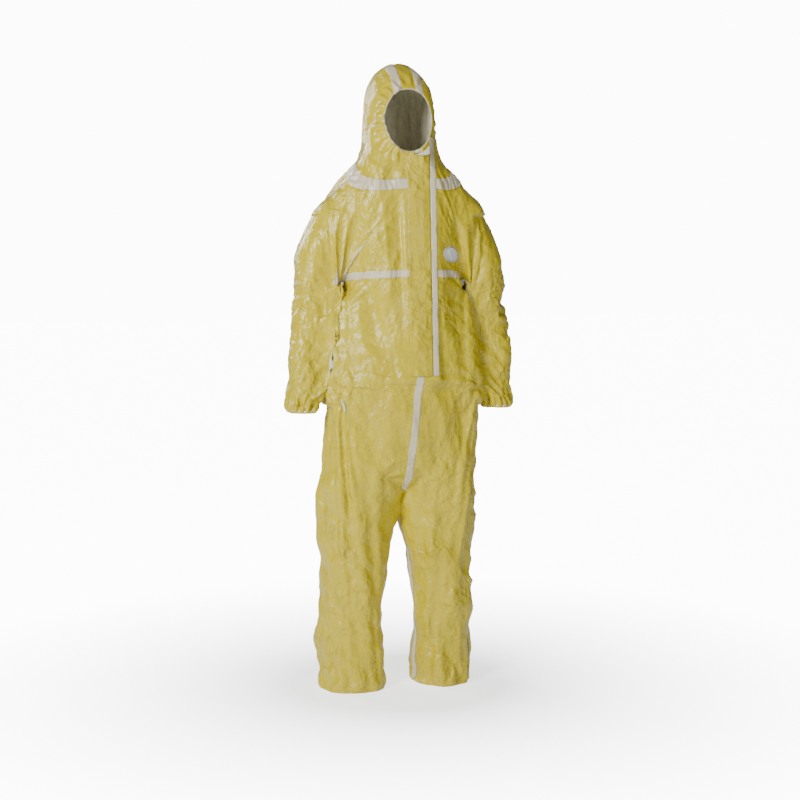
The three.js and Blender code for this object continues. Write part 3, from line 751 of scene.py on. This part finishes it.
# The panels aren't oblongs; each one's flat width and length are given beside its CAD node
panels = [
    ("hood_crown", is_crown, "hood_crown_panel", (0.066, 0.45)),
    ("hood_left", is_hood & ~is_crown & hood_left & ~in_gap, "hood_left_panel", (0.28, 0.34)),
    ("hood_right", is_hood & ~is_crown & ~hood_left & ~in_gap, "hood_right_panel", (0.28, 0.34)),
    ("yoke_and_sleeve_left", is_upper & is_left & ~in_gap, "yoke_sleeve_left", (0.58, 0.80)),
    ("yoke_and_sleeve_right", is_upper & ~is_left & ~in_gap, "yoke_sleeve_right", (0.58, 0.80)),
    ("body_and_leg_left", ~is_hood & ~is_upper & is_left & ~in_gap, "body_leg_left", (0.64, 1.24)),
    ("body_and_leg_right", ~is_hood & ~is_upper & ~is_left & ~in_gap, "body_leg_right",
     (0.64, 1.24)),
]
for name, mask, node, flat in panels:
    panel = piece(name, mask, 0, 0.0008, (yellow_film, nonwoven), node)

# ---- The seam tapes ----------------------------------------------------------------------------
# Heat-sealed tape over every seam: a milky, half clear film strip, 20 mm wide, 25 at the neck.
# Where two cross, the later one lies on the earlier one.

tape_film = film("seam tape", ((0.62, 0.54, 0.33), (0.72, 0.65, 0.47)), 0.34, 0.35, 0.06, 0.35)
over_neck = (centre - np.array(NECK_POINT)) @ np.array(NECK_PLANE)
off_crotch = (centre - np.array(CROTCH_POINT)) @ np.array(CROTCH_PLANE)
off_underarm = (centre - np.array(UNDERARM_POINT)) @ np.array(UNDERARM_PLANE)

strip = abs(abs(cx) - 0.032) < 0.0115
in_hood = (over_neck > 0) & ((cy > 0) | (cz > FACE_Z)) & strip
on_chest = (abs(cz - CHEST) < 0.010) & ~past_arm & ~in_gap
behind_zip = (cy > 0) & (abs(cx) < 0.010)
inner_leg = (abs(cy) < 0.010) & (cz < FORK + 0.003) & (abs(cx) < 0.125)
arm_mid = np.interp(-(cz - HEM), -SLEEVE[:, 2], SLEEVE[:, 0])
inner_arm = (abs(off_underarm) < 0.010) & (cz < HEM + 1.153) & (cz > CUFF - 0.001)
inner_arm &= past_arm & (abs(cx) < arm_mid)
by_crotch = (cy < 0) & (abs(off_crotch) < 0.010)
on_seam = (cy < 0) & (cx > seam_low.x) & (cx < seam_high.x)
# Each tape's CAD node, its part of the skin, how far it is raised in millimetres, its flat size
tapes = [
    ("hood_tape_left", in_hood & (cx > 0), 0.7, (0.023, 0.46)),
    ("hood_tape_right", in_hood & (cx < 0), 0.7, (0.023, 0.46)),
    ("chest_tape_front_left", on_chest & (cy < 0) & (cx > seam_high.x), 0.7, (0.020, 0.16)),
    ("chest_tape_front_right", on_chest & (cy < 0) & (cx < ZIP_X), 0.7, (0.020, 0.246)),
    ("chest_tape_back_left", on_chest & (cy > 0) & (cx > 0), 0.7, (0.020, 0.23)),
    ("chest_tape_back_right", on_chest & (cy > 0) & (cx < 0), 0.7, (0.020, 0.23)),
    ("centre_back_tape", behind_zip & (over_neck < -0.0125) & (cz > FORK), 1.25, (0.020, 1.02)),
    ("front_crotch_tape", by_crotch & (cz > FORK) & (cz < zip_foot), 0.7, (0.020, 0.41)),
    ("inseam_tape_left", inner_leg & (cx > 0) & (cz > HEM + 0.008), 1.2, (0.020, 0.554)),
    ("inseam_tape_right", inner_leg & (cx < 0) & (cz > HEM + 0.008), 1.2, (0.020, 0.554)),
    ("underarm_tape_left", inner_arm & (cx > 0), 0.7, (0.020, 0.362)),
    ("underarm_tape_right", inner_arm & (cx < 0), 0.7, (0.020, 0.362)),
    ("neck_tape", (abs(over_neck) < 0.0125) & ~in_gap, 1.3, (0.025, 1.10)),
    ("flap_seam_tape", on_seam & (cz > seam_low.z) & (cz < HEM + 1.556), 1.9, (0.016, 0.68)),
]
for node, mask, raised, flat in tapes:
    tape = piece(node + "_film", mask, raised * 0.001, 0.00045, (tape_film,), node)

# ---- The elastics ------------------------------------------------------------------------------
# Flat woven bands, 8 mm wide, stitched inside the gathered edges of the hood, cuffs and legs, so
# that a pale rim shows past the film; the waist elastic is glued inside the back.

woven = two_tone("woven elastic", ((0.70, 0.66, 0.46), (0.86, 0.84, 0.70)), 0.8, bump=0.5,
                 Scale=520.0, Detail=2.0)
# The band's section, in millimetres past the cloth's edge and above the cloth
BAND = np.array([(1.0, -.85), (1.4, -1.2), (1.4, -1.8), (1.0, -2.15), (-6.5, -2.25), (-7.0, -1.9),
                 (-7.0, -1.2), (-6.5, -.95)]) * 0.001


def edge_band(name, loop, node, outwards):
    """An elastic swept round an open edge, just inside the film and a little past its edge."""
    points, up = skin_worn[loop], skin_lift[loop]
    for _ in range(2):
        points = (np.roll(points, 1, 0) + 2 * points + np.roll(points, -1, 0)) / 4
        up = (np.roll(up, 1, 0) + 2 * up + np.roll(up, -1, 0)) / 4
    along = np.roll(points, -1, 0) - np.roll(points, 1, 0)
    off = np.cross(up, along)
    off /= np.linalg.norm(off, axis=1)[:, None] + 1e-9
    turn = np.sign((off * outwards(points)).sum(axis=1).sum())
    off *= turn
    count, sides = len(points), len(BAND)
    verts = (points[:, None] + off[:, None] * BAND[None, :, :1] + up[:, None] * BAND[None, :, 1:])
    faces = []
    for i in range(count):
        j = (i + 1) % count
        for k in range(sides):
            m = (k + 1) % sides
            faces.append((i * sides + k, i * sides + m, j * sides + m, j * sides + k))
    obj = new_object(name, verts.reshape(-1, 3).tolist(), faces)
    bm = bmesh.new()
    bm.from_mesh(obj.data)
    bmesh.ops.recalc_face_normals(bm, faces=bm.faces)
    bm.to_mesh(obj.data)
    bm.free()
    obj.data.shade_smooth()
    obj.data.materials.append(woven)
    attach(obj, "suit")
    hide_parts(node)


for loop in rings:
    mid = skin_worn[loop].mean(axis=0)
    down = lambda points: np.array((0, 0, -1))
    hand = "left" if mid[0] > 0 else "right"
    if mid[2] > FACE_LOW.z:
        edge_band("face_elastic_band", loop, "face_elastic", lambda points: mid - points)
    elif mid[2] > HEM + 0.3:
        edge_band("cuff_elastic_band_" + hand, loop, "cuff_elastic_" + hand, down)
    else:
        edge_band("ankle_elastic_band_" + hand, loop, "ankle_elastic_" + hand, down)
waist = (cy > 0) & (cz > waist_low.z) & (cz < waist_high.z)
waist &= (abs(cx) < waist_high.x) & ~past_arm
band = piece("waist_elastic_band", waist, -0.0012, 0.0010, (woven,), "waist_elastic")

# ---- The chest label ---------------------------------------------------------------------------
# A blank oval sticker of white film with a thin printed border, on the left chest.

skin_tree = BVHTree.FromPolygons(skin_cut.tolist(), skin_faces)
label_verts, label_faces, label_ring = [], [], []
LABEL_RINGS, LABEL_SIDES = 8, 48
half_x, half_z = (label_high.x - label_low.x) / 2, (label_high.z - label_low.z) / 2
for i in range(LABEL_RINGS + 1):
    for j in range(LABEL_SIDES if i else 1):
        out, turn = i / LABEL_RINGS, 2 * math.pi * j / LABEL_SIDES
        x = label_mid.x + half_x * out * math.cos(turn)
        z = label_mid.z + half_z * out * math.sin(turn)
        hit, _, index, _ = skin_tree.ray_cast(Vector((x, -1, z)), Vector((0, 1, 0)))
        corners = skin_faces[index]
        share = np.array(poly_3d_calc([Vector(skin_cut[k]) for k in corners], hit))
        at = share @ skin_worn[corners] + 0.0011 * (share @ skin_lift[corners])
        label_verts.append(at.tolist())
        label_ring.append(out)
for j in range(LABEL_SIDES):
    k = (j + 1) % LABEL_SIDES
    label_faces.append((0, 1 + j, 1 + k))
    for i in range(LABEL_RINGS - 1):
        a, b = 1 + i * LABEL_SIDES, 1 + (i + 1) * LABEL_SIDES
        label_faces.append((a + j, b + j, b + k, a + k))
label = new_object("oval_label", label_verts, label_faces)
mesh = label.data
mesh.attributes.new("ring", "FLOAT", "POINT").data.foreach_set("value", label_ring)
bm = bmesh.new()
bm.from_mesh(mesh)
bmesh.ops.recalc_face_normals(bm, faces=bm.faces)
if sum(f.normal.y for f in bm.faces) > 0:
    bmesh.ops.reverse_faces(bm, faces=bm.faces)
bm.to_mesh(mesh)
bm.free()
mesh.shade_smooth()
solid = label.modifiers.new("thickness", "SOLIDIFY")
solid.thickness = 0.0004
solid.offset = -1
bpy.context.view_layer.objects.active = label
label.select_set(True)
bpy.ops.object.modifier_apply(modifier=solid.name)
label.select_set(False)
sticker = bpy.data.materials.new("label film")
sticker.use_nodes = True
tree = sticker.node_tree
ring_value = add_node(tree, "ShaderNodeAttribute", {"attribute_name": "ring"}).outputs["Fac"]
ramp_node = tree.nodes.new("ShaderNodeValToRGB")
ramp_node.color_ramp.interpolation = "CONSTANT"
ramp_node.color_ramp.elements[0].color = (0.80, 0.82, 0.84, 1)
ramp_node.color_ramp.elements[1].position = 0.94
ramp_node.color_ramp.elements[1].color = (0.80, 0.82, 0.84, 1)
border = ramp_node.color_ramp.elements.new(0.86)
border.color = (0.10, 0.18, 0.34, 1)
tree.links.new(ring_value, ramp_node.inputs["Fac"])
tree.links.new(ramp_node.outputs["Color"], tree.nodes["Principled BSDF"].inputs["Base Color"])
tree.nodes["Principled BSDF"].inputs["Roughness"].default_value = 0.30
label.data.materials.append(sticker)
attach(label, "suit")
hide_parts("chest_label")

# ---- The zip -----------------------------------------------------------------------------------
# A nylon coil zip: two woven tapes, a coil sewn on each, a bottom stop and two top stops, and an
# enamelled slider whose puller swings on its bridge. It stays closed; only the slider runs.


def zip_span(node):
    """Lowest and highest of a CAD node across, up and out from the zip, in metres."""
    points = np.array([v.co[:] for v in frame["nodes"][node].data.vertices])
    local = points @ np.array((X, ZIP_UP, ZIP_OUT)).T
    return local.min(axis=0), local.max(axis=0)


def from_zip(across, up, out):
    """The place of a point given across, up and out from the zip."""
    return X * across + ZIP_UP * up + ZIP_OUT * out


tape_weave = two_tone("zip tape", ((0.42, 0.36, 0.09), (0.58, 0.50, 0.16)), 0.85, bump=0.5,
                      texture="ShaderNodeTexWave", settings={"bands_direction": "Z"},
                      Scale=260.0, Distortion=1.5)
nylon = two_tone("coil nylon", ((0.60, 0.50, 0.12), (0.72, 0.62, 0.20)), 0.35,
                 Scale=90.0, Detail=3.0)

for hand in ("left", "right"):
    low, high = zip_span("zip_tape_" + hand)
    rows = int((high[1] - low[1]) / 0.006)
    verts, faces = [], []
    for i in range(rows + 1):
        up = low[1] + (high[1] - low[1]) * i / rows
        sway = 0.0002 * math.sin(i * 0.9)
        for across, out in ((low[0], low[2]), (high[0], low[2]), (high[0], high[2]),
                            (low[0], high[2])):
            verts.append(from_zip(across, up, out + sway))
        if i:
            a, b = 4 * i - 4, 4 * i
            faces += [(a + k, a + (k + 1) % 4, b + (k + 1) % 4, b + k) for k in range(4)]
    faces += [(3, 2, 1, 0), tuple(4 * rows + k for k in range(4))]
    tape = new_object("zip_tape_woven_" + hand, verts, faces)
    tape.data.materials.append(tape_weave)
    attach(tape, "suit")
    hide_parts("zip_tape_" + hand)

    # One turn of the coil: a rounded bar with a thicker head where it meets the other side
    low, high = zip_span("zip_chain_" + hand)
    PITCH = 0.0015
    size = high - low
    bpy.ops.mesh.primitive_cube_add(size=1)
    coil = bpy.context.object
    coil.name = "zip_coil_" + hand
    bpy.ops.object.mode_set(mode="EDIT")
    bpy.ops.transform.resize(value=(size[0], PITCH * 0.55, size[2] * 0.8))
    bpy.ops.mesh.select_all(action="DESELECT")
    bm = bmesh.from_edit_mesh(coil.data)
    inner = -1 if hand == "left" else 1
    for f in bm.faces:
        f.select_set(f.normal.x * inner > 0.9)
    bmesh.update_edit_mesh(coil.data)
    bpy.ops.mesh.inset(thickness=0.00012)
    bpy.ops.transform.resize(value=(1, 1.5, 1.25))
    bpy.ops.mesh.select_all(action="SELECT")
    bpy.ops.mesh.bevel(offset=0.00022, segments=1)
    bpy.ops.object.mode_set(mode="OBJECT")
    turns = coil.modifiers.new("turns", "ARRAY")
    turns.use_relative_offset = False
    turns.use_constant_offset = True
    turns.constant_offset_displace = (0, PITCH, 0)
    turns.count = int(size[1] / PITCH)
    bpy.ops.object.modifier_apply(modifier=turns.name)
    middle = (low + high) / 2
    shift = PITCH / 2 if hand == "left" else 0
    frame_matrix = Matrix((X, ZIP_UP, ZIP_OUT)).transposed().to_4x4()
    frame_matrix.translation = from_zip(middle[0], low[1] + PITCH * 0.5 + shift, middle[2])
    coil.matrix_world = frame_matrix
    bpy.ops.object.transform_apply()
    coil.select_set(False)
    coil.data.materials.append(nylon)
    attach(coil, "suit")
    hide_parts("zip_chain_" + hand)

enamel = two_tone("slider enamel", ((0.58, 0.47, 0.07), (0.66, 0.55, 0.10)), 0.25, bump=0.05,
                  Scale=600.0, Detail=1.0)
enamel.node_tree.nodes["Principled BSDF"].inputs["Coat Weight"].default_value = 0.5
for name, material, slot in (
        ("zip_slider", enamel, "zip_slider"), ("zip_puller", enamel, "zip_slider"),
        ("zip_bottom_stop", nylon, "zip_coil"), ("zip_top_stop_left", nylon, "zip_coil"),
        ("zip_top_stop_right", nylon, "zip_coil")):
    node = frame["nodes"][name]
    node.data.materials.clear()
    node.data.materials.append(material)
    weld = node.modifiers.new("weld", "WELD")
    weld.merge_threshold = 0.00001
    soften = node.modifiers.new("rounded edges", "BEVEL")
    soften.width = 0.00025
    soften.segments = 2
    soften.limit_method = "ANGLE"

# ---- The storm flap ----------------------------------------------------------------------------
# Two layers of the laminate over the zip, sewn down on the wearer's left and stuck down on the
# right with a strip of double-sided adhesive. Its top end is turned down and shows the nonwoven.

flap_low, flap_high = zip_span("storm_flap")
# Its free and sewn edges across from the zip, its thickness, its rise in millimetres over the
# fabric at each distance across, and the radius of the turned end
FREE, SEWN = -0.030, 0.034
FLAP_THICK = 0.0012
PROFILE = np.array([(-.032, 2.0), (-.018, 2.0), (-.009, 3.5), (.014, 3.5), (.026, 1.6), (.034, .5)])
CURL = 0.0032
columns, rows = 26, 170


def free_edge(up):
    """How far the flap's free edge lies across from the zip, at this height."""
    over = up - (flap_high[1] - 0.085)
    return FREE + 0.021 * float(ramp(np.array(over), 0.0, 0.080)) + 0.0007 * math.sin(up * 55)


def flap_top(across):
    """How high the flap reaches: up to the face opening, less a margin."""
    up = flap_high[1]
    while up > flap_low[1]:
        at = from_zip(ZIP_X + across, up, ZIP_FACE)
        inside_face = math.hypot(at.x / FACE_HALF[0], (at.z - FACE_Z) / FACE_HALF[1])
        if inside_face > 1.11 and at.z < FACE_Z:
            return up
        up -= 0.001
    return up


upper, under = [], []
for i in range(rows + 1):
    for j in range(columns + 1):
        t = j / columns
        turned = 0.004 + 0.026 * t
        top = flap_top(FREE + 0.021 + t * (SEWN - FREE - 0.021))
        length = top - CURL - flap_low[1] + turned
        along = length * i / rows
        flat_length = length - turned
        up = flap_low[1] + min(along, flat_length)
        edge = free_edge(up)
        across = edge + t * (SEWN - edge)
        rise = float(np.interp(across, PROFILE[:, 0], PROFILE[:, 1])) * 0.001
        rise += 0.0014 * (abs(noise.noise(Vector((across * 30 + up * 9, up * 17, 3)))) * 2 - 0.2)
        rise += 0.0005 * noise.noise(Vector((across * 110, up * 80, 9)))
        for points, layer in ((under, 0), (upper, FLAP_THICK)):
            out, high = rise + layer, up
            if along > flat_length:
                turn = min((along - flat_length) / CURL, math.pi * 0.93)
                rest_length = max(0, along - flat_length - CURL * math.pi * 0.93)
                reach = CURL - layer
                high = up + reach * math.sin(turn) + rest_length * math.cos(turn)
                out = rise + CURL - reach * math.cos(turn) + rest_length * math.sin(turn)
            points.append(from_zip(ZIP_X + across, high, ZIP_FACE + out))
stride = columns + 1
count = len(upper)
faces = []
for i in range(rows):
    for j in range(columns):
        a = i * stride + j
        faces.append((count + a, count + a + 1, count + a + 1 + stride, count + a + stride))
        faces.append((a, a + stride, a + 1 + stride, a + 1))
for i in range(rows):
    a, b = i * stride, i * stride + columns
    faces.append((a, count + a, count + a + stride, a + stride))
    faces.append((b, b + stride, count + b + stride, count + b))
for j in range(columns):
    a, b = j, rows * stride + j
    faces.append((a, a + 1, count + a + 1, count + a))
    faces.append((b, count + b, count + b + 1, b + 1))
flap = new_object("flap_laminate", [tuple(p) for p in under + upper], faces)
mesh = flap.data
mesh.materials.append(yellow_film)
mesh.materials.append(nonwoven)
for i in range(1, 2 * rows * columns, 2):
    mesh.polygons[i].material_index = 1
mesh.shade_smooth()
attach(flap, "flap")
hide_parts("storm_flap")

adhesive_low, adhesive_high = zip_span("flap_adhesive_strip")
verts, faces = [], []
steps = 120
for i in range(steps + 1):
    up = adhesive_low[1] + (adhesive_high[1] - adhesive_low[1]) * i / steps
    for across, out in ((adhesive_low[0], 1.45), (adhesive_high[0], 1.45), (adhesive_high[0], 1.85),
                        (adhesive_low[0], 1.85)):
        verts.append(from_zip(across, up, ZIP_FACE + out * 0.001))
    if i:
        a, b = 4 * i - 4, 4 * i
        faces += [(a + k, a + (k + 1) % 4, b + (k + 1) % 4, b + k) for k in range(4)]
faces += [(3, 2, 1, 0), tuple(4 * steps + k for k in range(4))]
adhesive = new_object("flap_adhesive", verts, faces)
liner = two_tone("release liner", ((0.70, 0.69, 0.64), (0.80, 0.79, 0.75)), 0.4,
                 Scale=60.0, Detail=4.0)
adhesive.data.materials.append(liner)
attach(adhesive, "flap")
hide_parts("flap_adhesive_strip")

# ---- Floor, light and camera -------------------------------------------------------------------
# A pale floor under the hems and soft studio light: a large box on the wearer's right, a weaker
# one on the left, and white surroundings.

bpy.ops.mesh.primitive_plane_add(size=40, location=(0, 0, HEM))
floor = bpy.context.object
floor.name = "floor"
floor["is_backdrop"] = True
paint = bpy.data.materials.new("floor paint")
paint.use_nodes = True
tree = paint.node_tree
shader = tree.nodes["Principled BSDF"]
shader.inputs["Base Color"].default_value = (0.86, 0.86, 0.86, 1)
shader.inputs["Roughness"].default_value = 0.7
shader.inputs["Emission Color"].default_value = (1, 1, 1, 1)
# The floor turns plain white away from the feet, seen by the camera only
spot = add_node(tree, "ShaderNodeTexCoord").outputs["Object"]
away = add_node(tree, "ShaderNodeVectorMath", {"operation": "LENGTH"}, i0=spot)
fade = add_node(tree, "ShaderNodeMapRange", i0=away.outputs["Value"], i1=0.3, i2=1.5, i3=1.5,
                i4=12.0)
eye = add_node(tree, "ShaderNodeLightPath").outputs["Is Camera Ray"]
glow = add_node(tree, "ShaderNodeMath", {"operation": "MULTIPLY_ADD"}, i0=fade.outputs[0],
                i1=eye, i2=0.3)
tree.links.new(glow.outputs[0], shader.inputs["Emission Strength"])
floor.data.materials.append(paint)
world = bpy.data.worlds.new("studio")
scene.world = world
world.use_nodes = True
tree = world.node_tree
back_light = tree.nodes["Background"]
back_light.inputs[0].default_value = (1, 1, 1, 1)
back_light.inputs[1].default_value = 0.15
seen = add_node(tree, "ShaderNodeBackground", Color=(1, 1, 1, 1), Strength=12.0)
path = add_node(tree, "ShaderNodeLightPath")
both = add_node(tree, "ShaderNodeMixShader", i0=path.outputs["Is Camera Ray"],
                i1=back_light.outputs[0], i2=seen.outputs[0])
tree.links.new(both.outputs[0], tree.nodes["World Output"].inputs["Surface"])


def softbox(name, place, aim, size, power):
    """A rectangular area light at a place, facing a point."""
    data = bpy.data.lights.new(name, "AREA")
    data.shape = "RECTANGLE"
    data.size, data.size_y = size
    data.energy = power
    lamp = bpy.data.objects.new(name, data)
    lamp.location = place
    lamp.rotation_euler = (Vector(aim) - Vector(place)).to_track_quat("-Z", "Y").to_euler()
    scene.collection.objects.link(lamp)


softbox("key", (-2.7, -2.4, 0.9), (0, 0, -0.6), (0.9, 1.8), 165)
softbox("front", (0.9, -3.8, 0.6), (0, 0, -0.6), (0.8, 1.6), 18)
softbox("back", (-1.6, 2.6, 0.8), (0, 0, -0.5), (0.8, 1.6), 50)
camera_data = bpy.data.cameras.new("camera")
camera = bpy.data.objects.new("camera", camera_data)
scene.collection.objects.link(camera)
AZIMUTH = math.radians(-16)
DISTANCE = 4.8
target = Vector((0.005, 0, HEM + 0.82))
camera.location = (target.x + DISTANCE * math.sin(AZIMUTH), -DISTANCE * math.cos(AZIMUTH),
                   HEM + 1.3)
look = target - camera.location
camera.rotation_euler = look.to_track_quat("-Z", "Y").to_euler()
camera_data.sensor_width = 36
camera_data.lens = 36 / 2.28 * look.length
scene.camera = camera

low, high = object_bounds()
